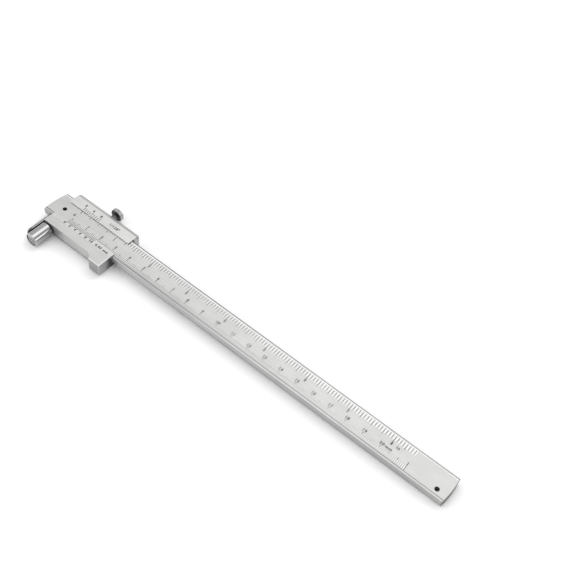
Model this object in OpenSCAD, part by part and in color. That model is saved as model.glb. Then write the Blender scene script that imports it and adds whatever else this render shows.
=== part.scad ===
// Scribing caliper with a guide roller, in millimetres.
// The beam lies along X with its graduated face up. X is 0 at the scale's zero, Y is 0 on the beam's
// centreline and Z is 0 on the flat back of the slider. The scriber and the roller point along -Y.

/* [Beam] */
// Width of the beam, across its graduated face
beam_w = 15; // [13:0.5:16]
// Thickness of the beam over its rails
beam_t = 5; // [4.5:0.1:6]
// Width of the flat top of the rail along each edge of the graduated face
rail_flat = 0.3; // [0.2:0.1:0.8]
// Height of the rails over the graduated face
rail_h = 0.25; // [0.1:0.05:0.4]
// Width of the bevel on each rail's outer side
rail_bevel_w = 0.6; // [0.3:0.1:0.8]
// Height of that bevel
rail_bevel_h = 0.35; // [0.2:0.05:0.6]
// Bevel along the beam's lower edges
beam_chamfer = 0.4; // [0.2:0.05:0.8]
// Longest reading that the slider reaches
travel = 200; // [100:10:300]
// Length of scale past the longest reading
scale_spare = 14; // [5:1:20]
// Plain length of beam past the last graduation
tail = 23.9; // [20:0.1:40]
// Radius of the shallow arcs that end the beam
end_arc_r = 50; // [40:1:80]
// Length of nose past the scriber's arm
nose_cover = 4.6; // [3.5:0.1:6]
// Distance from the beam's front edge to the crown of the nose's arc
nose_crown = 4.5; // [1.5:0.1:7.5]
// How far the rounded end of the nose stands out at mid-thickness
nose_bulge = 1.2; // [0.6:0.1:1.6]
// Diameter of the hanging hole
hang_hole_d = 2.5; // [2:0.1:4]
// Distance from the beam's plain end to the hanging hole
hang_hole_end = 6; // [4:0.1:10]
// Distance from the beam's front edge to the hanging hole
hang_hole_edge = 3.7; // [2.9:0.1:7.5]

/* [Scriber] */
// Thickness of the scriber's arm, along the beam
arm_t = 1.2; // [0.8:0.1:1.6]
// Height of the scriber's arm
arm_h = 4.5; // [3.6:0.1:5]
// Distance from the roller's free end back to the scriber's point
point_back = 0.7; // [0.3:0.1:1.5]
// Distance from the scale's zero to the arm's measuring face
arm_face = 11.4; // [10.8:0.1:13]
// Radius inside the corner under the arm, where it leaves the beam
arm_root_r = 1.5; // [0.5:0.1:2]
// Length of the hard tip brazed to the arm
tip_l = 4; // [3:0.1:6]
// Length over which the tip narrows to its point
tip_point_l = 1.4; // [1:0.1:2.5]
// Length of the bevel ground on the tip's outer side
tip_bevel_l = 2.6; // [1.5:0.1:3.5]
// Width left at the tip's ground end
tip_land = 0.1; // [0.05:0.05:0.3]
// Length of the scriber's foot, along the beam
foot_l = 9.6; // [8:0.1:11]
// Width of the scriber's foot, across the beam
foot_w = 10; // [9:0.1:11.5]
// Diameter of the screw that holds the foot
foot_screw_d = 2.4; // [1.6:0.1:2.5]
// Diameter of that screw's head
foot_head_d = 4.2; // [3.2:0.1:4.4]
// Thickness of that screw's head
foot_head_t = 1.5; // [1:0.1:1.8]
// Distance from the graduated face down to that screw's end
foot_screw_short = 0.8; // [0.4:0.1:1.5]
// Distance from the arm's measuring face to that screw
foot_screw_in = 3.3; // [2.8:0.1:5]
// Distance from the beam's front edge to that screw
foot_screw_edge = 6.5; // [5.5:0.1:6.5]
// Diameter of the dowel that squares the foot
dowel_d = 1.5; // [1:0.1:2]
// Depth of the dowel in the beam
dowel_depth = 1.2; // [0.8:0.1:1.4]
// Distance from the beam's front edge to the dowel
dowel_edge = 2.4; // [1.8:0.1:2.6]

/* [Slider] */
// Distance from the roller's axis to the slider's end beside it
axle_margin = 2.2; // [1.6:0.1:2.4]
// Length of the slider from the scale's zero to its end beside the grip
slider_reach = 33; // [30:0.5:45]
// Depth of the slider's body in front of the beam
front_depth = 6.15; // [5.9:0.05:9]
// Depth of the slider's body behind the beam
rear_depth = 4.8; // [4.5:0.1:7]
// Thickness of the wall under the beam
back_wall = 2; // [1.2:0.1:3]
// Thickness of the flanges over the beam
flange_t = 0.65; // [0.5:0.05:1.5]
// Width of beam that the rear flange covers
rear_lap = 3.2; // [2.5:0.1:4]
// Width of beam that the front flange covers
front_lap = 2.2; // [1.5:0.1:2.5]
// Width of the sloping face that carries the lower vernier
vernier_w = 3.2; // [2.5:0.1:4]
// Thickness left at the edge of the sloping face
vernier_lip = 0.15; // [0.1:0.05:0.3]
// Width of the bevel along the slider's rear top edge
rear_bevel_w = 2.1; // [0.8:0.1:2.4]
// Height of that bevel
rear_bevel_h = 1.2; // [0.6:0.1:1.5]
// Side of the square relief in the channel's upper front corner
corner_relief = 0.8; // [0.4:0.1:1.2]
// Bevel along the slider's lower edges
base_chamfer = 0.4; // [0.2:0.1:0.6]
// Length of the thumb grip
grip_l = 7.2; // [6:0.1:10]
// Distance that the thumb grip stands out
grip_out = 3.2; // [2:0.1:4]
// Radius of the hollow beside the thumb grip
grip_scoop_r = 5; // [4:0.1:8]

/* [Gib and lock] */
// Thickness of the gib strip behind the beam
gib_t = 1.2; // [0.8:0.1:1.5]
// Distance from each end of the slider to the end of the gib strip
gib_inset = 1.5; // [0.3:0.1:2]
// Diameter of the gib's set screws
gib_screw_d = 2; // [1.6:0.1:2.5]
// Distance from each end of the slider to the set screw near it
gib_screw_inset = 6; // [4:0.5:9]
// Diameter of a set screw's point
gib_point_d = 1; // [0.8:0.1:1.2]
// Depth of the dimple that the point sits in
gib_dimple = 0.4; // [0.2:0.1:0.6]
// Depth of a set screw's head under the slider's rear face
gib_screw_sink = 0.4; // [0.2:0.1:0.8]
// Distance from the scale's zero to the lock screw
lock_x = 13.1; // [11:0.1:16]
// Diameter of the lock screw's thread
lock_d = 3; // [2.5:0.1:3.4]
// Diameter of the lock screw's knurled head
lock_head_d = 7.2; // [5.5:0.1:8]
// Thickness of the knurled head
lock_head_t = 2.4; // [1.8:0.1:4]
// Distance from the slider's rear face to the knurled head
lock_stand_off = 3; // [1:0.1:5]
// Ribs round the knurled head
knurl_count = 36; // [24:1:48]
// Depth of the knurl
knurl_depth = 0.15; // [0.1:0.05:0.3]
// Bevel round the knurled head's two rims
lock_head_bevel = 0.3; // [0.2:0.05:0.5]
// Distance that the lock screw's soft tip stands off the gib
lock_gap = 0.12; // [0.05:0.01:0.2]
// Diameter of that tip
lock_tip_d = 2.1; // [1.8:0.1:2.4]
// Length of the tip that shows past the thread
lock_tip_l = 0.6; // [0.4:0.1:0.8]
// Diameter of the peg behind the tip
lock_peg_d = 1.4; // [1:0.1:1.7]
// Length of that peg
lock_peg_l = 1.6; // [1:0.1:2.5]

/* [Guide roller] */
// Diameter of the guide roller
roller_d = 7.9; // [7.6:0.1:9]
// Length of the guide roller
roller_l = 11.2; // [9:0.1:14]
// Drop from the beam's graduated face to the roller's axis
roller_drop = 4.2; // [3.8:0.05:4.5]
// Bevel round each end of the roller
roller_chamfer = 0.25; // [0.2:0.05:0.6]
// Gap between roller and scriber at zero
zero_gap = 0.05; // [0.02:0.01:0.1]
// Diameter of the axle that the roller turns on
axle_d = 3; // [2.6:0.1:3.2]
// Diameter of the axle's thread in the slider
axle_thread_d = 2; // [1.6:0.1:2.4]
// Length of that thread
axle_thread_l = 5; // [3.5:0.1:5.5]
// Diameter of the axle's head
axle_head_d = 6; // [5:0.1:6.2]
// Thickness of the axle's head
axle_head_t = 1.1; // [0.8:0.1:1.4]
// Clearance round the axle's head in the roller's end
axle_head_clear = 0.3; // [0.1:0.05:0.35]
// Depth of the axle's head under the roller's end
axle_head_sink = 0.3; // [0.1:0.05:0.6]
// Thickness of the bronze bush in the roller
bush_t = 0.7; // [0.5:0.05:0.8]
// Thickness of the washer between slider and roller
washer_t = 0.6; // [0.4:0.1:1]
// Diameter of that washer
washer_d = 6; // [5:0.1:6.6]

/* [Fits] */
// Clearance of the beam in the slider, on each side
slide_clear = 0.05; // [0.03:0.01:0.08]
// Radial clearance of the roller on its axle
run_clear = 0.03; // [0.01:0.01:0.08]
// End float of the roller on each side
end_float = 0.05; // [0.03:0.01:0.1]
// Clearance of a part that is fixed in its seat
seat_clear = 0.02; // [0.01:0.01:0.04]
// Width of a screwdriver slot
slot_w = 0.5; // [0.4:0.05:0.7]
// Depth of a screwdriver slot
slot_depth = 0.5; // [0.3:0.05:0.6]

/* [Hidden] */
$fn = 96;
// How far a cutter runs past the face it opens
over = 1;

// Levels, from the slider's back upward
beam_z = back_wall + slide_clear;
rail_z = beam_z + beam_t;
face_z = rail_z - rail_h;
channel_z = rail_z + slide_clear;
slider_top = channel_z + flange_t;
mid_z = (beam_z + rail_z) / 2;
roller_z = face_z - roller_drop;
arm_top = roller_z + arm_h / 2;
arm_base = roller_z - arm_h / 2;
foot_seat_z = beam_z + foot_head_t;

// Places across the beam
front_y = -beam_w / 2;
rear_y = beam_w / 2;
slider_front = front_y - front_depth;
slider_rear = rear_y + rear_depth;
gib_y = rear_y + slide_clear;
channel_rear = gib_y + gib_t + slide_clear;
foot_screw_y = front_y + foot_screw_edge;
dowel_y = front_y + dowel_edge;

// Places along the beam
beam_end = travel + scale_spare + tail;
foot_x = -arm_face - arm_t;
nose_x = foot_x - nose_cover;
foot_screw_x = foot_screw_in - arm_face;
roller_x = zero_gap + roller_d / 2 - arm_face;
slider_start = roller_x - axle_margin;
slider_end = slider_reach;
grip_x = slider_end - grip_l;

// Guide roller, counted from the slider's front face outward
bush_r = axle_d / 2 + run_clear;
bush_seat_r = bush_r + bush_t;
roller_start = washer_t + end_float;
roller_end = roller_start + roller_l;
axle_head_end = roller_end - axle_head_sink;
axle_head_start = axle_head_end - axle_head_t;
counterbore_start = axle_head_start - end_float;

// Scriber's point, and how far the arm runs from the beam to the hard tip
tip_y = slider_front - roller_end + point_back;
arm_l = front_y - tip_y - tip_l;

// Lays a shape that is drawn along +Z down so that it runs along -Y, away from the slider's front face
module from_front(x, z, start = 0) {
    translate([x, slider_front - start, z])
        rotate([90, 0, 0])
            children();
}

// Lays a shape that is drawn along +Z down so that it runs along -Y, inward from a plane of that Y
module inward(x, y, z) {
    translate([x, y, z])
        rotate([90, 0, 0])
            children();
}

// Extrudes a cross-section, drawn as [Y, Z], along the beam from x0 to x1
module along_beam(x0, x1) {
    translate([x0, 0, 0])
        rotate([90, 0, 90])
            linear_extrude(x1 - x0)
                children();
}

// Disc with a bevel round both ends
module bevelled_disc(r, h, c) {
    rotate_extrude()
        polygon([[0, 0], [r - c, 0], [r, c], [r, h - c], [r - c, h], [0, h]]);
}

// Straight slot across the end of a screw whose head ends at h
module driver_slot(d, h) {
    translate([-d, -slot_w / 2, h - slot_depth])
        cube([2 * d, slot_w, slot_depth + over]);
}

// Beam section: a flat bar with a raised, bevelled rail along each edge of its graduated face
module beam_section() {
    rail_w = rail_bevel_w + rail_flat;
    polygon([
        [front_y + beam_chamfer, beam_z], [rear_y - beam_chamfer, beam_z],
        [rear_y, beam_z + beam_chamfer], [rear_y, rail_z - rail_bevel_h],
        [rear_y - rail_bevel_w, rail_z], [rear_y - rail_w, rail_z], [rear_y - rail_w, face_z],
        [front_y + rail_w, face_z], [front_y + rail_w, rail_z], [front_y + rail_bevel_w, rail_z],
        [front_y, rail_z - rail_bevel_h], [front_y, beam_z + beam_chamfer]
    ]);
}

// Envelope of the beam's two ends. The nose follows a shallow arc and is rounded over its thickness, with
// the crown of the arc in front of the centreline. The plain end is square to the faces.
module beam_ends() {
    half_t = beam_t / 2;
    round_r = (pow(nose_bulge, 2) + pow(half_t, 2)) / (2 * nose_bulge);
    arc_x = nose_x + end_arc_r;
    translate([arc_x, front_y + nose_crown, mid_z])
        rotate_extrude($fn = 360)
            intersection() {
                translate([0, -half_t])
                    square([end_arc_r, beam_t]);
                union() {
                    translate([0, -half_t])
                        square([end_arc_r - round_r, beam_t]);
                    translate([end_arc_r - round_r, 0])
                        circle(round_r);
                }
            }
    translate([arc_x, front_y - over, beam_z])
        cube([beam_end - end_arc_r - arc_x, beam_w + 2 * over, beam_t]);
    translate([beam_end - end_arc_r, 0, beam_z])
        cylinder(r = end_arc_r, h = beam_t, $fn = 360);
}

// Recess in the back of the nose that takes the scriber's foot
module foot_recess() {
    translate([foot_x - seat_clear, front_y - over, beam_z - over])
        cube([foot_l + 2 * seat_clear, foot_w + over + seat_clear, arm_top - beam_z + over + seat_clear]);
}

module beam() {
    color("gainsboro")
        difference() {
            intersection() {
                along_beam(nose_x - over, beam_end + over)
                    beam_section();
                beam_ends();
            }
            foot_recess();
            translate([foot_screw_x, foot_screw_y, 0])
                cylinder(d = foot_screw_d + 2 * seat_clear, h = face_z + over);
            translate([foot_screw_x, dowel_y, 0])
                cylinder(d = dowel_d + 2 * seat_clear, h = arm_top + dowel_depth + seat_clear);
            translate([beam_end - hang_hole_end, front_y + hang_hole_edge, 0])
                cylinder(d = hang_hole_d, h = face_z + over);
        }
}

// Scriber, one L-shaped piece: the foot lies in the beam's recess and the arm runs out beside the roller
module scriber() {
    color("silver")
        difference() {
            union() {
                translate([foot_x, front_y, beam_z])
                    cube([foot_l, foot_w, arm_top - beam_z]);
                translate([foot_x, tip_y + tip_l, arm_base])
                    cube([arm_t, arm_l, arm_h]);
                translate([foot_x, front_y, beam_z])
                    arm_root_fillet();
            }
            translate([foot_screw_x, foot_screw_y, 0]) {
                cylinder(d = foot_screw_d + 2 * seat_clear, h = face_z);
                cylinder(d = foot_head_d + 2 * seat_clear, h = foot_seat_z);
            }
            translate([foot_screw_x, dowel_y, 0])
                cylinder(d = dowel_d + 2 * seat_clear, h = face_z);
        }
}

// Fillet between the arm's measuring face and the front of the foot
module arm_root_fillet() {
    translate([arm_t, 0, 0])
        linear_extrude(arm_top - beam_z)
            difference() {
                translate([0, -arm_root_r])
                    square([arm_root_r, arm_root_r]);
                translate([arm_root_r, -arm_root_r])
                    circle(arm_root_r);
            }
}

// Hard tip: a blunt arrow seen along the beam, ground to an edge from its outer side
module scriber_tip() {
    base_y = tip_y + tip_l;
    color("dimgray")
        intersection() {
            along_beam(foot_x, foot_x + arm_t)
                polygon([
                    [base_y, arm_base], [base_y, arm_top], [tip_y + tip_point_l, arm_top],
                    [tip_y, roller_z], [tip_y + tip_point_l, arm_base]
                ]);
            linear_extrude(face_z)
                polygon([
                    [foot_x, base_y], [foot_x + arm_t, base_y], [foot_x + arm_t, tip_y],
                    [foot_x + arm_t - tip_land, tip_y], [foot_x, tip_y + tip_bevel_l]
                ]);
        }
}

// Cheese-head screw that clamps the foot, its head flush with the foot
module foot_screw() {
    color("darkgray")
        translate([foot_screw_x, foot_screw_y, beam_z])
            difference() {
                union() {
                    cylinder(d = foot_head_d, h = foot_head_t);
                    cylinder(d = foot_screw_d, h = face_z - beam_z - foot_screw_short);
                }
                translate([-foot_head_d, -slot_w / 2, -over])
                    cube([2 * foot_head_d, slot_w, slot_depth + over]);
            }
}

// Dowel that keeps the foot square to the beam
module foot_dowel() {
    color("darkgray")
        translate([foot_screw_x, dowel_y, beam_z])
            cylinder(d = dowel_d, h = arm_top - beam_z + dowel_depth);
}

// Slider section, a channel round the beam: the rear flange is flat, and the front one slopes down to the
// beam to carry the lower vernier. A relief in the corner under it keeps clear of the beam's edge.
module slider_section() {
    lap_front = front_y + front_lap;
    lap_rear = rear_y - rear_lap;
    difference() {
        polygon([
            [slider_front + base_chamfer, 0], [slider_rear - base_chamfer, 0],
            [slider_rear, base_chamfer], [slider_rear, slider_top - rear_bevel_h],
            [slider_rear - rear_bevel_w, slider_top], [lap_rear, slider_top],
            [lap_rear, channel_z], [lap_front, channel_z], [lap_front, channel_z + vernier_lip],
            [lap_front - vernier_w, slider_top], [slider_front, slider_top], [slider_front, base_chamfer]
        ]);
        translate([front_y - slide_clear, back_wall])
            square([channel_rear - front_y + slide_clear, channel_z - back_wall]);
        translate([front_y - slide_clear - corner_relief, channel_z - corner_relief])
            square([corner_relief + over, corner_relief]);
    }
}

// Plan of the thumb grip with the round hollow beside it
module grip_plan() {
    scoop_w = sqrt(pow(grip_scoop_r, 2) - pow(grip_scoop_r - grip_out, 2));
    difference() {
        translate([grip_x - scoop_w, slider_front - grip_out])
            square([grip_l + scoop_w, grip_out + over]);
        translate([grip_x - scoop_w, slider_front - grip_scoop_r])
            circle(grip_scoop_r);
    }
}

// Places of the gib's set screws along the slider
function gib_screw_places() = [slider_start + gib_screw_inset, slider_end - gib_screw_inset];

module slider() {
    bore_l = slider_rear - channel_rear + 2 * over;
    color("lightgray")
        difference() {
            union() {
                along_beam(slider_start, slider_end)
                    slider_section();
                linear_extrude(slider_top)
                    grip_plan();
            }
            inward(lock_x, slider_rear + over, mid_z)
                cylinder(d = lock_d + 2 * seat_clear, h = bore_l);
            for (x = gib_screw_places())
                inward(x, slider_rear + over, mid_z)
                    cylinder(d = gib_screw_d + 2 * seat_clear, h = bore_l);
            translate([roller_x, slider_front - over, roller_z])
                rotate([-90, 0, 0])
                    cylinder(d = axle_thread_d + 2 * seat_clear, h = axle_thread_l + over + seat_clear);
        }
}

// Gib strip that the set screws press against the beam's rear edge, with a dimple for each screw's point
module gib_strip() {
    gib_h = channel_z - back_wall - 2 * slide_clear;
    color("goldenrod")
        difference() {
            translate([slider_start + gib_inset, gib_y, back_wall + slide_clear])
                cube([slider_end - slider_start - 2 * gib_inset, gib_t, gib_h]);
            for (x = gib_screw_places())
                inward(x, gib_y + gib_t + over, mid_z)
                    cylinder(d = gib_point_d + 2 * seat_clear, h = over + gib_dimple);
        }
}

// Slotted set screws with a dog point that sits in the gib strip
module gib_screws() {
    point_l = slide_clear + gib_dimple - seat_clear;
    body_l = slider_rear - gib_screw_sink - channel_rear;
    color("dimgray")
        for (x = gib_screw_places())
            translate([x, channel_rear, mid_z])
                rotate([-90, 0, 0])
                    difference() {
                        union() {
                            cylinder(d = gib_screw_d, h = body_l);
                            translate([0, 0, -point_l])
                                cylinder(d = gib_point_d, h = point_l + gib_point_d / 2);
                        }
                        driver_slot(gib_screw_d, body_l);
                    }
}

// Outline of a straight-knurled disc: a point at each rib's crest and at each valley
function knurl_points(r, n, depth) = [
    for (i = [0 : 2 * n - 1])
        let (a = 180 * i / n, q = i % 2 == 0 ? r : r - depth)
            [q * cos(a), q * sin(a)]
];

// Lock screw: a knurled head on a threaded shank, bored for its soft tip
module lock_screw() {
    head_r = lock_head_d / 2;
    bevel = lock_head_bevel + knurl_depth;
    shank_l = slider_rear + lock_stand_off - lock_end_y();
    color("silver")
        translate([lock_x, lock_end_y(), mid_z])
            rotate([-90, 0, 0])
                difference() {
                    union() {
                        cylinder(d = lock_d, h = shank_l);
                        translate([0, 0, shank_l])
                            intersection() {
                                linear_extrude(lock_head_t)
                                    polygon(knurl_points(head_r, knurl_count, knurl_depth));
                                bevelled_disc(head_r + knurl_depth, lock_head_t, bevel);
                            }
                    }
                    translate([0, 0, -over])
                        cylinder(d = lock_peg_d + 2 * seat_clear, h = over + lock_peg_l + seat_clear);
                }
}

// End of the lock screw's thread, which leaves room for the soft tip before the gib
function lock_end_y() = gib_y + gib_t + lock_gap + lock_tip_l;

// Soft tip pressed into the lock screw so that it doesn't mark the gib
module lock_tip() {
    color("peru")
        translate([lock_x, lock_end_y() - lock_tip_l, mid_z])
            rotate([-90, 0, 0]) {
                cylinder(d = lock_tip_d, h = lock_tip_l);
                cylinder(d = lock_peg_d, h = lock_tip_l + lock_peg_l);
            }
}

// Washer that keeps the roller off the slider
module roller_washer() {
    color("dimgray")
        from_front(roller_x, roller_z)
            difference() {
                cylinder(d = washer_d, h = washer_t);
                translate([0, 0, -over])
                    cylinder(d = axle_d + 2 * seat_clear, h = washer_t + 2 * over);
            }
}

// Shoulder screw that the roller turns on, its slotted head sunk in the roller's end
module roller_axle() {
    color("darkgray")
        from_front(roller_x, roller_z)
            difference() {
                union() {
                    translate([0, 0, -axle_thread_l])
                        cylinder(d = axle_thread_d, h = axle_thread_l + over);
                    cylinder(d = axle_d, h = axle_head_end);
                    translate([0, 0, axle_head_start])
                        cylinder(d = axle_head_d, h = axle_head_t);
                }
                driver_slot(axle_head_d, axle_head_end);
            }
}

// Bronze bush pressed into the roller
module roller_bush() {
    color("peru")
        from_front(roller_x, roller_z, roller_start)
            difference() {
                cylinder(r = bush_seat_r, h = counterbore_start - roller_start);
                translate([0, 0, -over])
                    cylinder(r = bush_r, h = roller_l + 2 * over);
            }
}

// Guide roller: a hardened sleeve with bevelled ends and a counterbore for the axle's head
module guide_roller() {
    color("whitesmoke")
        from_front(roller_x, roller_z, roller_start)
            difference() {
                bevelled_disc(roller_d / 2, roller_l, roller_chamfer);
                translate([0, 0, -over])
                    cylinder(r = bush_seat_r + seat_clear / 2, h = roller_l + 2 * over);
                translate([0, 0, counterbore_start - roller_start])
                    cylinder(d = axle_head_d + 2 * axle_head_clear, h = roller_l);
            }
}

beam();
scriber();
scriber_tip();
foot_screw();
foot_dowel();
slider();
gib_strip();
gib_screws();
lock_screw();
lock_tip();
roller_washer();
roller_axle();
roller_bush();
guide_roller();
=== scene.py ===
import math

import bpy
from mathutils import Matrix, Vector


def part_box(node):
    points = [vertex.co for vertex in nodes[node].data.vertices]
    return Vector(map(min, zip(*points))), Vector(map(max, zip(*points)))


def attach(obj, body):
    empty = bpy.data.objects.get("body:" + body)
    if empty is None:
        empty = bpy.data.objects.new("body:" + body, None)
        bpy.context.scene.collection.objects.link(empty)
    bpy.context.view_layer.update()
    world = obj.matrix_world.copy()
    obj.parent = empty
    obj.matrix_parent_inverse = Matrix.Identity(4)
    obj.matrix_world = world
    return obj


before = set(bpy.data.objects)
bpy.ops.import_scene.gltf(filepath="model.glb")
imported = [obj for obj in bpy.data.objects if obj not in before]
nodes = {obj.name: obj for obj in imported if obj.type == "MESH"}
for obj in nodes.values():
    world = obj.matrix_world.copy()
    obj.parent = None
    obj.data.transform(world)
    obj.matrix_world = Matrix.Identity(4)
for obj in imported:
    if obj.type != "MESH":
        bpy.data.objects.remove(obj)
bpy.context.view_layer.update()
scene = bpy.context.scene

# The viewpoint: above the graduated face and to the right of the slider, close enough for the near end of
# the beam to spread. The lens is a long normal one without shift, and nothing is out of focus.
camera = bpy.data.objects.new("camera", bpy.data.cameras.new("camera"))
scene.collection.objects.link(camera)
camera.data.sensor_width = 36
camera.data.lens = 59.685
camera.location = (0.269727, -0.219083, 0.389174)
camera.rotation_mode = "QUATERNION"
camera.rotation_quaternion = (0.885485, 0.322390, 0.063207, 0.328613)
scene.camera = camera
scene.view_settings.view_transform = "Standard"

# The beam: a long bar of hard-chromed tool steel with a low rail along each edge of its graduated face. It
# is milled and ground all over, and the chrome is given a satin finish so that the scale reads without
# glare.
RAIL_STEP = 0.00025
END_ARC = 0.05
END_RIM = 0.0003
GRIND_DEPTH = 0.00002
beam_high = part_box("beam")[1]
face_z = beam_high.z - RAIL_STEP

# A Mix node takes its two colours by the numbers 6 and 7, and gives the mixed one as its output 2.
MIX_A, MIX_B, MIXED = 6, 7, 2

# Nearly all of a noise's values lie between these two.
NOISE_LOW, NOISE_HIGH = 0.3, 0.7


def linear(code):
    """A colour written as sRGB hex, as the linear RGBA that the shaders take."""
    parts = [int(code[i:i + 2], 16) / 255 for i in (1, 3, 5)]
    return [p / 12.92 if p <= 0.04045 else ((p + 0.055) / 1.055) ** 2.4 for p in parts] + [1]


def add(tree, kind, feeds=None, **settings):
    """Adds a node with its settings. feeds maps its sockets to values, or to the outputs that feed them."""
    made = tree.nodes.new(kind)
    for name, value in settings.items():
        setattr(made, name, value)
    for socket, value in (feeds or {}).items():
        if isinstance(value, bpy.types.NodeSocket):
            tree.links.new(value, made.inputs[socket])
        else:
            made.inputs[socket].default_value = value
    return made


def start_material(name):
    """A new material, its tree, its shader and the Object coordinates that its patterns are drawn on."""
    material = bpy.data.materials.new(name)
    material.use_nodes = True
    tree = material.node_tree
    return material, tree, tree.nodes["Principled BSDF"], add(tree, "ShaderNodeTexCoord").outputs["Object"]


def streaks(tree, place, lengths, detail=2.0):
    """Noise drawn out to the given lengths in millimetres along X, Y and Z, from 0 to 1."""
    spread = add(tree, "ShaderNodeMapping", {"Vector": place, "Scale": [1000 / mm for mm in lengths]})
    noise = add(tree, "ShaderNodeTexNoise", {"Vector": spread.outputs[0], "Scale": 1.0, "Detail": detail})
    return noise.outputs["Fac"]


def steel(name, ends, flanks, faces, roughness, grain, glint="#F4F4F4", edge_mm=0.15, relief=0.4, light_and_shade_tints=None):
    """Ground or satin metal. ends, flanks and faces are its colours where it looks along X, Y and Z. They are
    painted light and shade: each is the tone that side shows under the lamps. grain is the lengths of its
    grinding marks in millimetres, and the last argument a function that tints it in places with painted light
    and shade. Edges are broken by hand, and carry a painted highlight in the colour glint."""
    material, tree, shader, place = start_material(name)
    looks = add(tree, "ShaderNodeTexCoord").outputs["Normal"]
    facing = add(tree, "ShaderNodeSeparateXYZ", {0: looks}).outputs
    base = linear(faces)
    # Painted light and shade: the flanks and ends get the tones those sides show under the lamps.
    for axis, colour in (("Y", flanks), ("X", ends)):
        part = add(tree, "ShaderNodeMath", {0: facing[axis], 1: facing[axis]}, operation="MULTIPLY").outputs[0]
        base = add(tree, "ShaderNodeMix", {0: part, MIX_A: base, MIX_B: linear(colour)},
                   data_type="RGBA").outputs[MIXED]
    if light_and_shade_tints:
        base = light_and_shade_tints(tree, place, base)
    grind = streaks(tree, place, grain)
    cloud = streaks(tree, place, (14, 9, 9), 3.0)
    for noise, dark, light in ((grind, 0.92, 1.04), (cloud, 0.95, 1.03)):
        tone = add(tree, "ShaderNodeMapRange", {
            "Value": noise, "From Min": NOISE_LOW, "From Max": NOISE_HIGH, "To Min": dark, "To Max": light,
        }).outputs[0]
        grey = add(tree, "ShaderNodeCombineColor", {0: tone, 1: tone, 2: tone}).outputs[0]
        base = add(tree, "ShaderNodeMix", {0: 1.0, MIX_A: base, MIX_B: grey},
                   data_type="RGBA", blend_type="MULTIPLY").outputs[MIXED]
    rounded = add(tree, "ShaderNodeBevel", {"Radius": edge_mm / 1000}, samples=8).outputs[0]
    flat = add(tree, "ShaderNodeNewGeometry").outputs["Normal"]
    along = add(tree, "ShaderNodeVectorMath", {0: rounded, 1: flat}, operation="DOT_PRODUCT").outputs["Value"]
    # Painted highlight: near the edges the colour is mixed towards glint.
    edge = add(tree, "ShaderNodeMapRange", {
        "Value": along, "From Min": 0.98, "From Max": 0.8, "To Min": 0, "To Max": 0.8,
    }).outputs[0]
    base = add(tree, "ShaderNodeMix", {0: edge, MIX_A: base, MIX_B: linear(glint)},
               data_type="RGBA").outputs[MIXED]
    tree.links.new(base, shader.inputs["Base Color"])
    shader.inputs["Metallic"].default_value = 1.0
    dullness = add(tree, "ShaderNodeMapRange", {
        "Value": grind, "From Min": NOISE_LOW, "From Max": NOISE_HIGH,
        "To Min": roughness - 0.04, "To Max": roughness + 0.05,
    })
    tree.links.new(dullness.outputs[0], shader.inputs["Roughness"])
    bump = add(tree, "ShaderNodeBump", {
        "Height": grind, "Strength": relief, "Distance": GRIND_DEPTH, "Normal": rounded,
    })
    tree.links.new(bump.outputs[0], shader.inputs["Normal"])
    return material


def share_inside(tree, place, limits):
    """How far a point lies inside limits, from 0 to 1. Each is an axis, where it begins and ends in
    millimetres, and how far its edges fade to each side. None leaves a side open."""
    spot = add(tree, "ShaderNodeSeparateXYZ", {0: place}).outputs
    share = 1.0
    for axis, low, high, fade in limits:
        for side, rises in ((low, True), (high, False)):
            if side is not None:
                share = add(tree, "ShaderNodeMapRange", {
                    "Value": spot[axis], "From Min": (side - fade) / 1000, "From Max": (side + fade) / 1000,
                    "To Min": 0.0 if rises else share, "To Max": share if rises else 0.0,
                }).outputs[0]
    return share


def tinted(tree, place, base, tints):
    """Lays tints over a colour in turn, each given as its limits, its colour and how it is blended."""
    for limits, colour, mode in tints:
        share = share_inside(tree, place, limits)
        base = add(tree, "ShaderNodeMix", {0: share, MIX_A: base, MIX_B: linear(colour)},
                   data_type="RGBA", blend_type=mode).outputs[MIXED]
    return base


def distance(tree, place, centre, counted):
    """How far a point lies from a centre, along the axes that counted gives as 1."""
    apart = add(tree, "ShaderNodeVectorMath", {0: place, 1: centre}, operation="SUBTRACT").outputs[0]
    apart = add(tree, "ShaderNodeVectorMath", {0: apart, 1: counted}, operation="MULTIPLY").outputs[0]
    return add(tree, "ShaderNodeVectorMath", {0: apart}, operation="LENGTH").outputs["Value"]


def paint(node, material):
    """Gives a CAD node its material."""
    for spot in nodes[node].material_slots:
        spot.material = material


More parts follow.
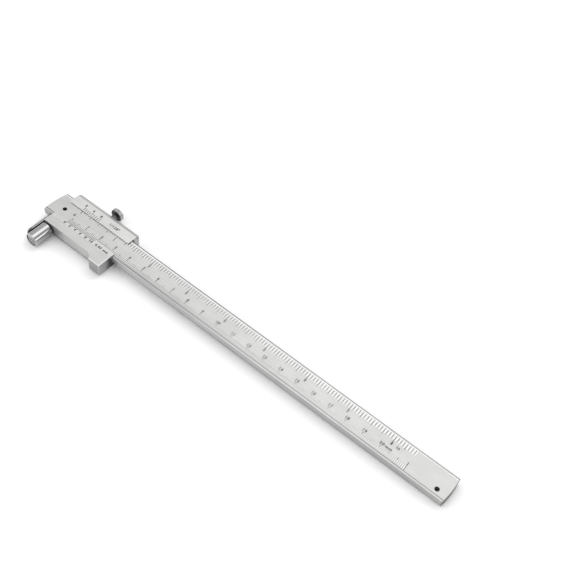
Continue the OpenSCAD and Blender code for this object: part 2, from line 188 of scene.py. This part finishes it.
# Satin chrome on ground steel: the eye sees an even pale grey with faint lengthwise lines. The grinding
# lines are 0.02 mm apart on the real bar, so they are drawn 0.5 mm apart to show at all.
def worn_rails(tree, place, base):
    """Painted light and shade on the beam, and the clean bands between its scale lines. The rails begin 6.6 mm
    from its centreline, and between them the ruled part of the face ends at 215 mm."""
    low_sides = ("Z", None, 3.15, 0.25)
    ruled = ("X", -0.3, 215.2, 0.1)
    far_bevel = ("Y", 6.7, 7.49, 0.01)
    base = tinted(tree, place, base, (
        # Painted shade darkens the sides low down, and more so near the nose.
        ((low_sides,), "#F0F0F0", "MULTIPLY"),
        ((("X", None, 150, 50), low_sides), "#EAEAEA", "MULTIPLY"),
        # Painted shade makes the bar a trace darker towards its plain end.
        ((("X", 125, None, 75),), "#F1F1F0", "MULTIPLY"),
        # The chrome between the lines is cleaned bright.
        ((ruled, ("Y", 3.4, 6.2, 0.2)), "#E3E3E2", "MIX"),
        ((ruled, ("Y", -6.3, -3.8, 0.2)), "#ECECEB", "MIX"),
        # Painted shade darkens the far rail's bevel, most of all towards the nose, and a painted highlight runs
        # along its inner edge.
        ((far_bevel,), "#D6D6D6", "MULTIPLY"),
        ((("X", None, 130, 40), far_bevel), "#BABABA", "MULTIPLY"),
        ((("Y", 6.3, 6.7, 0.01),), "#FFFFFF", "MIX"),
        # Painted shade in the near rail's inner corner, a painted highlight on its bevel, and shade near the
        # nose.
        ((("Y", -6.8, -6.3, 0.01),), "#A4A4A3", "MULTIPLY"),
        ((("Y", -7.49, -6.9, 0.01),), "#EAEAEA", "MIX"),
        ((("X", None, 100, 40), ("Y", -7.49, -6.3, 0.01)), "#D2D2D2", "MULTIPLY"),
        # Painted shade darkens the nose's near side, beside the blade.
        ((("X", None, -10, 0.5), ("Y", None, -7.3, 0.1)), "#EDEDEC", "MULTIPLY")))
    # Painted shade greys a thin band along the curved edge of the plain end.
    out = distance(tree, place, (beam_high.x - END_ARC, 0, 0), (1, 1, 0))
    rim = add(tree, "ShaderNodeMapRange", {
        "Value": out, "From Min": END_ARC - END_RIM - 0.00005, "From Max": END_ARC - END_RIM,
        "To Max": share_inside(tree, place, (("X", 200.5, None, 0.5),)),
    }).outputs[0]
    return add(tree, "ShaderNodeMix", {0: rim, MIX_A: base, MIX_B: linear("#A6A6A6")},
               data_type="RGBA", blend_type="MULTIPLY").outputs[MIXED]


satin_chrome = steel("satin_chromed_steel", "#8C8C8C", "#C4C4C4", "#D5D5D4", 0.5, (30, 0.5, 0.5),
                     light_and_shade_tints=worn_rails)
paint("beam", satin_chrome)

# The beam's two scales: lines and numerals cut through the chrome by photo-etching and filled with black
# enamel, millimetres along the near rail and sixteenths of an inch along the far one. Both begin at one zero.
INCH = 0.0254
MARK_PROUD = 0.000006
MARK_SUNK = 0.00002
MARK_LEVEL = (MARK_PROUD - MARK_SUNK) / 2
LINE_WIDTH = 0.00034
NUMERAL_HEIGHT = 0.0016
NUMERAL_BOLD = 0.00008

# Black enamel in etched lines: matt and a little greyed where it is rubbed. The lines are about 0.12 mm wide
# on a real beam, and are drawn 0.3 to 0.34 mm wide so that a pixel holds enough of one.
etched, tree, shader, place = start_material("black_etched_enamel")
enamel = add(tree, "ShaderNodeMix", {
    0: streaks(tree, place, (3, 1, 1)), MIX_A: linear("#121213"), MIX_B: linear("#2A2A2B"),
}, data_type="RGBA")
tree.links.new(enamel.outputs[MIXED], shader.inputs["Base Color"])
shader.inputs["Roughness"].default_value = 0.55

# The tree that rules a scale: a row of bars that stand on a common foot, the longer ones at every so many.
# A negative length points them towards -Y. A Compare node takes its whole numbers by the numbers 2 and 3.
COMPARE_A, COMPARE_B = 2, 3
scale_tree = bpy.data.node_groups.new("scale_lines", "GeometryNodeTree")
scale_tree.is_modifier = True
for kind, names in (
        ("NodeSocketFloat", ("Start", "Pitch", "Width", "Foot", "Short", "Middle", "Long", "Height", "Depth")),
        ("NodeSocketInt", ("Count", "Middle every", "Long every")),
        ("NodeSocketMaterial", ("Enamel",))):
    for name in names:
        scale_tree.interface.new_socket(name, in_out="INPUT", socket_type=kind)
scale_tree.interface.new_socket("Lines", in_out="OUTPUT", socket_type="NodeSocketGeometry")
given = add(scale_tree, "NodeGroupInput").outputs
index = add(scale_tree, "GeometryNodeInputIndex").outputs[0]
length = given["Short"]
for step, longer in (("Middle every", "Middle"), ("Long every", "Long")):
    rest = add(scale_tree, "FunctionNodeIntegerMath", {0: index, 1: given[step]}, operation="MODULO")
    met = add(scale_tree, "FunctionNodeCompare", {COMPARE_A: rest.outputs[0], COMPARE_B: 0},
              data_type="INT", operation="EQUAL")
    length = add(scale_tree, "GeometryNodeSwitch", {0: met.outputs[0], 1: length, 2: given[longer]},
                 input_type="FLOAT").outputs[0]
half = add(scale_tree, "ShaderNodeMath", {0: length, 1: 0.5}, operation="MULTIPLY").outputs[0]
middle = add(scale_tree, "ShaderNodeMath", {0: given["Foot"], 1: half}, operation="ADD").outputs[0]
row = add(scale_tree, "GeometryNodeMeshLine", {
    "Count": given["Count"],
    "Start Location": add(scale_tree, "ShaderNodeCombineXYZ", {0: given["Start"]}).outputs[0],
    "Offset": add(scale_tree, "ShaderNodeCombineXYZ", {0: given["Pitch"]}).outputs[0],
}, mode="OFFSET")
row = add(scale_tree, "GeometryNodeSetPosition", {
    "Geometry": row.outputs[0],
    "Offset": add(scale_tree, "ShaderNodeCombineXYZ", {1: middle, 2: given["Height"]}).outputs[0],
})
bar = add(scale_tree, "GeometryNodeMeshCube", {"Size": (1, 1, 1)})
size_y = add(scale_tree, "ShaderNodeMath", {0: length}, operation="ABSOLUTE").outputs[0]
bar_size = add(scale_tree, "ShaderNodeCombineXYZ", {0: given["Width"], 1: size_y, 2: given["Depth"]})
lines = add(scale_tree, "GeometryNodeInstanceOnPoints", {
    "Points": row.outputs[0], "Instance": bar.outputs[0], "Scale": bar_size.outputs[0],
})
lines = add(scale_tree, "GeometryNodeRealizeInstances", {0: lines.outputs[0]})
lines = add(scale_tree, "GeometryNodeSetMaterial", {0: lines.outputs[0], "Material": given["Enamel"]})
add(scale_tree, "NodeGroupOutput", {0: lines.outputs[0]})


def scale_lines(name, body, slot, turn=None, **values):
    """Runs the tree with these inputs and makes the lines a plain mesh that rides on the body."""
    carrier = bpy.data.objects.new(name, bpy.data.meshes.new(name))
    scene.collection.objects.link(carrier)
    run = carrier.modifiers.new("lines", "NODES")
    run.node_group = scale_tree
    values["Enamel"] = etched
    values["Depth"] = MARK_PROUD + MARK_SUNK
    for socket in scale_tree.interface.items_tree:
        if socket.in_out == "INPUT":
            run[socket.identifier] = values[socket.name.replace(" ", "_")]
    drawn = carrier.evaluated_get(bpy.context.evaluated_depsgraph_get())
    mesh = bpy.data.meshes.new_from_object(drawn)
    carrier.modifiers.clear()
    carrier.data = mesh
    if turn:
        mesh.transform(turn)
    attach(carrier, body)


def lettering(name, body, words, level, turn=None, height=NUMERAL_HEIGHT, bold=NUMERAL_BOLD):
    """Flat words, each given with its middle in X and Y, made one mesh and laid at a level on the face. A
    capital is 0.73 of the font's size tall."""
    joined = bpy.data.meshes.new(name)
    points, faces = [], []
    for text, x, y in words:
        line = bpy.data.curves.new(name, "FONT")
        line.body = text
        line.size = height / 0.73
        line.align_x = "CENTER"
        line.align_y = "CENTER"
        line.resolution_u = 3
        line.offset = bold
        line.space_character = 1.25
        line.extrude = (MARK_PROUD + MARK_SUNK) / 2
        word = bpy.data.objects.new(name + "_word", line)
        scene.collection.objects.link(word)
        flat = bpy.data.meshes.new_from_object(word.evaluated_get(bpy.context.evaluated_depsgraph_get()))
        start = len(points)
        points += [v.co + Vector((x, y, level + MARK_LEVEL)) for v in flat.vertices]
        faces += [[start + i for i in p.vertices] for p in flat.polygons]
        bpy.data.objects.remove(word)
        bpy.data.meshes.remove(flat)
    joined.from_pydata(points, [], faces)
    joined.materials.append(etched)
    if turn:
        joined.transform(turn)
    piece = bpy.data.objects.new(name, joined)
    scene.collection.objects.link(piece)
    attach(piece, body)


line_z = face_z + MARK_LEVEL
scale_lines("metric_scale_lines", "beam", "satin_steel", Start=0.0, Pitch=0.001, Width=LINE_WIDTH,
            Foot=-0.0064, Short=0.0026, Middle=0.0032, Long=0.0038, Height=line_z, Count=215,
            Middle_every=5, Long_every=10)
# One longer line closes the millimetres.
scale_lines("metric_scale_end", "beam", "satin_steel", Start=0.215, Pitch=0.001, Width=LINE_WIDTH,
            Foot=-0.0064, Short=0.0051, Middle=0.0051, Long=0.0051, Height=line_z, Count=1,
            Middle_every=5, Long_every=10)
scale_lines("inch_scale_lines", "beam", "satin_steel", Start=0.0, Pitch=INCH / 16, Width=LINE_WIDTH,
            Foot=0.0061, Short=-0.0026, Middle=-0.0035, Long=-0.0038, Height=line_z, Count=136,
            Middle_every=4, Long_every=16)
lettering("metric_scale_numerals", "beam",
          [(str(n), n * 0.01, -0.0016) for n in range(1, 21)] + [("mm", 0.2038, -0.0017)], face_z)
lettering("inch_scale_numerals", "beam",
          [(str(n), n * INCH + 0.0002, 0.0013) for n in range(1, 9)] + [("in", 0.2071, 0.0013)], face_z)
lettering("shared_zero", "beam", [("0", -0.0014, -0.0005)], face_z)

# The scriber: one L-shaped piece of hardened tool steel. Its long leg is the blade beside the roller, and its
# foot lies in a pocket in the beam's nose. Surface grinding gives it fine lengthwise lines and a cool shine.
def hardened_edge(tree, place, base):
    """Painted shade: darkens the blade's outer edge, and most of all its inner side in front of the beam, in
    the shadow of the gap beside the roller."""
    return tinted(tree, place, base, (
        ((("X", None, -12.225, 0.025),), "#8A8A8A", "MULTIPLY"),
        ((("X", -11.46, None, 0.02), ("Y", None, -8.05, 0.25)), "#4A4A49", "MULTIPLY")))


ground_steel = steel("ground_tool_steel", "#8A8A89", "#8A8A89", "#C0C0BF", 0.3, (0.6, 14, 0.6), "#D0D0CF", 0.06,
                     light_and_shade_tints=hardened_edge)
paint("scriber", ground_steel)

# The scriber's tip: cemented carbide, brazed to the blade's end and ground to a point. It is dense and grey,
# and the fine grinding gives it a dull, even shine.
carbide = steel("ground_carbide", "#6A6B6D", "#5C5D5F", "#77787A", 0.34, (0.4, 3, 0.4), "#A9AAAB", 0.1)
paint("scriber_tip", carbide)

# The foot's cheese-head screw and dowel, which hold the scriber in the nose. They are turned, hardened and
# blackened in hot salts, so they are near black with a soft shine.
black_steel = steel("blackened_screw_steel", "#2C2C2D", "#343435", "#2C2C2D", 0.38, (0.5, 0.5, 0.5), "#58585A",
                    0.06)
paint("foot_screw", black_steel)
paint("foot_dowel", black_steel)

# The slider: a channel milled from one block of steel, hard chromed and satin finished like the beam, so that
# it is the same even pale grey. Its two flanges carry the verniers, inches on the flat rear one and
# millimetres on the sloping front one.
slider_low, slider_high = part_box("slider")
GRIP_PITCH = 0.0008


def handled_slider(tree, place, base):
    """Painted light and shade on the slider, and the ribs that keep the thumb from slipping on the grip's
    front.
    """
    front, rear = slider_low.y * 1000, slider_high.y * 1000
    right, top = slider_high.x * 1000, slider_high.z * 1000
    on_top = ("Z", top - 0.1, None, 0.01)
    base = tinted(tree, place, base, (
        # The front flange's flat is a little darker.
        ((("Y", None, -8.6, 0.01),), "#F1F1F1", "MULTIPLY"),
        # A painted highlight lies on the rear flange's inner edge, and painted shade on the bevel behind it.
        ((("Y", 4.2, 4.35, 0.01), ("Z", 7.1, top - 0.02, 0.01)), "#FFFFFF", "MIX"),
        ((("Y", rear - 2.1, rear - 0.02, 0.01), ("Z", 5, 9, 0.01)), "#DEDEDE", "MULTIPLY"),
        # Painted light evens the hollow beside the grip; painted highlights lie on the top front and right
        # edges.
        ((("X", 19.5, 25.7, 0.01), ("Y", None, -13.8, 0.01), ("Z", 0.4, top - 0.1, 0.01)), "#CBCBCA", "MIX"),
        ((("Y", None, front + 0.3, 0.01), on_top), "#FFFFFF", "MIX"),
        ((("X", right - 0.3, None, 0.01), ("Y", None, -8.8, 0.01), on_top), "#FFFFFF", "MIX"),
        # Painted shade lies along the foot of the front, on the end where it meets the beam and beside the
        # roller.
        ((("X", -9.5, 25.7, 0.01), ("Y", -13.8, -13.4, 0.01), ("Z", 0.02, 0.95, 0.01)), "#8C8C8C", "MULTIPLY"),
        ((("X", right - 0.03, None, 0.01), ("Y", -10.5, None, 1.5), ("Y", None, -4.4, 0.1),
          ("Z", None, top - 0.075, 0.025)), "#888887", "MULTIPLY"),
        ((("X", None, 2, 3), ("Y", None, -13.7, 0.1)), "#8C8C8B", "MULTIPLY")))
    # The ribs are dark stripes: painted shade in their grooves.
    turn = add(tree, "ShaderNodeSeparateXYZ", {0: place}).outputs["X"]
    turn = add(tree, "ShaderNodeMath", {0: turn, 1: math.tau / GRIP_PITCH}, operation="MULTIPLY").outputs[0]
    wave = add(tree, "ShaderNodeMath", {0: turn}, operation="SINE").outputs[0]
    groove = add(tree, "ShaderNodeMapRange", {
        "Value": wave, "From Min": -0.6, "From Max": 0.6, "To Min": 0.35, "To Max": 0.9,
    }).outputs[0]
    grip = share_inside(tree, place, (("Y", None, front + 0.075, 0.025),))
    share = add(tree, "ShaderNodeMath", {0: grip, 1: groove}, operation="MULTIPLY").outputs[0]
    return add(tree, "ShaderNodeMix", {0: share, MIX_A: base, MIX_B: linear("#8A8A8A")},
               data_type="RGBA").outputs[MIXED]


slider_chrome = steel("satin_chromed_slider_steel", "#BABABA", "#D4D4D3", "#E0E0DF", 0.5, (22, 0.6, 0.6),
                      "#FFFFFF", 0.3, light_and_shade_tints=handled_slider)
paint("slider", slider_chrome)

# The verniers, etched and filled like the scales. On the rear flange 8 parts take up 7 sixteenths of an inch,
# and on the slope 20 parts take up 19 mm, so that the line that meets one of the scale's tells the fraction.
VERNIER_LINE = 0.0003
REAR_FLANGE_Y = 0.0043
top_z = slider_high.z
scale_lines("inch_vernier_lines", "slider", "slider_steel", Start=0.0, Pitch=7 * INCH / 128,
            Width=VERNIER_LINE, Foot=REAR_FLANGE_Y + 0.0001, Short=0.0018, Middle=0.0024, Long=0.0024,
            Height=top_z + MARK_LEVEL, Count=9, Middle_every=4, Long_every=4)
lettering("inch_vernier_numerals", "slider",
          [(str(4 * n), n * 7 * INCH / 32 - 0.0009, REAR_FLANGE_Y + 0.0034) for n in range(3)]
          + [('1/128"', 0.0203, REAR_FLANGE_Y + 0.0027)], top_z)

lip = Vector((0, -0.0053, top_z - 0.0005))
crest = Vector((0, -0.0085, top_z))
slope = math.atan2(crest.z - lip.z, lip.y - crest.y)
on_slope = Matrix.Translation(lip) @ Matrix.Rotation(-slope, 4, "X")
scale_lines("metric_vernier_lines", "slider", "slider_steel", on_slope, Start=0.0, Pitch=0.00095,
            Width=VERNIER_LINE, Foot=-0.0001, Short=-0.0015, Middle=-0.0019, Long=-0.0019,
            Height=MARK_LEVEL, Count=21, Middle_every=2, Long_every=4)
lettering("metric_vernier_numerals", "slider",
          [(str(2 * n), n * 0.0038 - 0.00075, -0.00265) for n in range(6)] + [("0.05 mm", 0.0259, -0.0024)],
          0, on_slope, 0.0015, 0.0001)

# The gib: a strip of rolled brass that fills the play behind the beam, pressed by two slotted set screws.
# Brass runs on chrome without scoring it, and rolling leaves it smooth and yellow with faint lines.
brass = steel("rolled_brass", "#B8965A", "#C7A663", "#C7A663", 0.34, (12, 0.4, 0.4), "#E2CB92", 0.1)
paint("gib_strip", brass)
paint("gib_screws", black_steel)

# The lock screw: turned steel with a straight knurl round its head. It is nickelled, with a painted highlight
# on its edges, and painted shade darkens the shank and the head's flat faces. A tip of turned bronze, brown and
# softly shining, is pressed into its end so that it doesn't mark the gib.
SHANK_REACH = 0.0022


def oiled_shank(tree, place, base):
    """Painted shade: darkens what lies near the screw's axis, the shank and the middle of the head's two faces.
    """
    lock_low, lock_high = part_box("lock_screw")
    axis = (lock_low + lock_high) / 2
    shank = add(tree, "ShaderNodeMapRange", {
        "Value": distance(tree, place, (axis.x, 0, axis.z), (1, 0, 1)),
        "From Min": SHANK_REACH, "From Max": SHANK_REACH + 0.0002, "To Min": 1, "To Max": 0,
    }).outputs[0]
    return add(tree, "ShaderNodeMix", {0: shank, MIX_A: base, MIX_B: linear("#5C5C5D")},
               data_type="RGBA").outputs[MIXED]


# The dark flanks are painted shade on the head's two flat faces.
knurled = steel("knurled_nickelled_steel", "#9A9A9A", "#484849", "#9A9A9A", 0.3, (0.5, 3, 0.5), "#C8C8C8", 0.08,
                light_and_shade_tints=oiled_shank)
paint("lock_screw", knurled)
bronze = steel("turned_bronze", "#A97B4A", "#9A6D40", "#A97B4A", 0.36, (0.5, 0.5, 0.5), "#D0A878", 0.1)
paint("lock_tip", bronze)

# The guide roller: a hardened steel sleeve, ground and lapped bright, so that it mirrors the lamps in clean
# bands. It turns with its bronze bush on a slotted shoulder screw of plain turned steel, which is duller, with
# a washer between it and the slider that is near black, painted shade in the gap there.
lapped = steel("lapped_hard_steel", "#B0B0B0", "#C0C0C0", "#B0B0B0", 0.12, (0.3, 6, 0.3), "#CFCFCF", 0.08, 0.1)
paint("guide_roller", lapped)
paint("roller_bush", bronze)
turned_steel = steel("turned_axle_steel", "#9C9C9C", "#ACACAD", "#9C9C9C", 0.3, (0.4, 4, 0.4), "#B8B8B9", 0.08)
paint("roller_axle", turned_steel)
# The washer's near black stands for painted shade in the gap beside the slider.
paint("roller_washer", black_steel)

# The floor: a sheet of matt white board. The caliper rests on it with the roller, the slider's rear edge and
# the plain end of the beam, so the board lies a little askew to the beam.
FLOOR_REACH = 4.0
REST_LEVEL, REST_ALONG_X, REST_ALONG_Y = -0.000765, 0.01083, 0.03428
corners = [(-FLOOR_REACH, -FLOOR_REACH), (FLOOR_REACH, -FLOOR_REACH), (FLOOR_REACH, FLOOR_REACH),
           (-FLOOR_REACH, FLOOR_REACH)]
floor_mesh = bpy.data.meshes.new("floor")
floor_mesh.from_pydata([(x, y, REST_LEVEL + REST_ALONG_X * x + REST_ALONG_Y * y) for x, y in corners], [],
                       [(0, 1, 2, 3)])
floor = bpy.data.objects.new("floor", floor_mesh)
scene.collection.objects.link(floor)

# Matt white board. It is shown brighter to the camera and to the metal than it shines on things, so that it
# comes out white round the caliper and still darkens under it, and stays white far out from the lamps.
FLOOR_SHINES, FLOOR_SHOWS, FLOOR_FAR_OUT = 0.86, 1.14, 0.8
white_board, tree, shader, place = start_material("matt_white_board")
ray = add(tree, "ShaderNodeLightPath").outputs
seen = ray["Is Camera Ray"]
for kind in ("Is Glossy Ray", "Is Transmission Ray"):
    seen = add(tree, "ShaderNodeMath", {0: seen, 1: ray[kind]}, operation="MAXIMUM").outputs[0]
far_out = add(tree, "ShaderNodeMapRange", {
    "Value": distance(tree, place, (0, 0, 0), (1, 1, 1)), "From Min": 0.5, "From Max": 1.8,
    "To Min": 0, "To Max": FLOOR_FAR_OUT,
}).outputs[0]
far_out = add(tree, "ShaderNodeMath", {0: far_out, 1: ray["Is Camera Ray"]}, operation="MULTIPLY").outputs[0]
tone = add(tree, "ShaderNodeMapRange", {
    "Value": seen, "From Min": 0, "From Max": 1, "To Min": FLOOR_SHINES, "To Max": FLOOR_SHOWS,
}).outputs[0]
tone = add(tree, "ShaderNodeMath", {0: tone, 1: far_out}, operation="ADD").outputs[0]
white = add(tree, "ShaderNodeCombineColor", {0: tone, 1: tone, 2: tone}).outputs[0]
paper = add(tree, "ShaderNodeBsdfDiffuse", {"Color": white})
tree.links.new(paper.outputs[0], tree.nodes["Material Output"].inputs["Surface"])
tree.nodes.remove(shader)
floor_mesh.materials.append(white_board)

# The room: an even soft white that lights the caliper from all round. It is shown at full white to the camera,
# so that the board runs out into it, and shines more weakly.
ROOM_SHINES = 0.64
world = bpy.data.worlds.new("studio")
scene.world = world
world.use_nodes = True
sky = world.node_tree
sky.nodes["Background"].inputs["Color"].default_value = (1, 1, 1, 1)
strength = add(sky, "ShaderNodeMapRange", {
    "Value": add(sky, "ShaderNodeLightPath").outputs["Is Camera Ray"],
    "From Min": 0, "From Max": 1, "To Min": ROOM_SHINES, "To Max": 1.0,
})
sky.links.new(strength.outputs[0], sky.nodes["Background"].inputs["Strength"])


# The lamps: a wide one high behind the caliper and a lower one to its right, which the roller mirrors as two
# bright lines with a dark gap between them. Two dimmer ones fill in from the left and from the front.
def softbox(name, at, size, radiance):
    """A soft rectangular lamp of even brightness, turned towards the caliper's zero. Its energy is four times
    its radiance by its area."""
    lamp = bpy.data.lights.new(name, "AREA")
    lamp.shape = "RECTANGLE"
    lamp.size, lamp.size_y = size
    lamp.energy = radiance * 4 * size[0] * size[1]
    holder = bpy.data.objects.new(name, lamp)
    scene.collection.objects.link(holder)
    holder.location = at
    holder.rotation_mode = "QUATERNION"
    holder.rotation_quaternion = Vector(at).to_track_quat("Z", "Y")


softbox("high_strip", (0.085, 0.52, 1.08), (0.8, 1.0), 1.14)
softbox("right_strip", (1.05, 0.52, 0.28), (1.1, 0.62), 1.25)
softbox("left_box", (-0.8, 0.52, 0.78), (1.2, 1.0), 0.18)
softbox("front_box", (-0.55, -0.8, 0.5), (1.2, 1.0), 0.7)
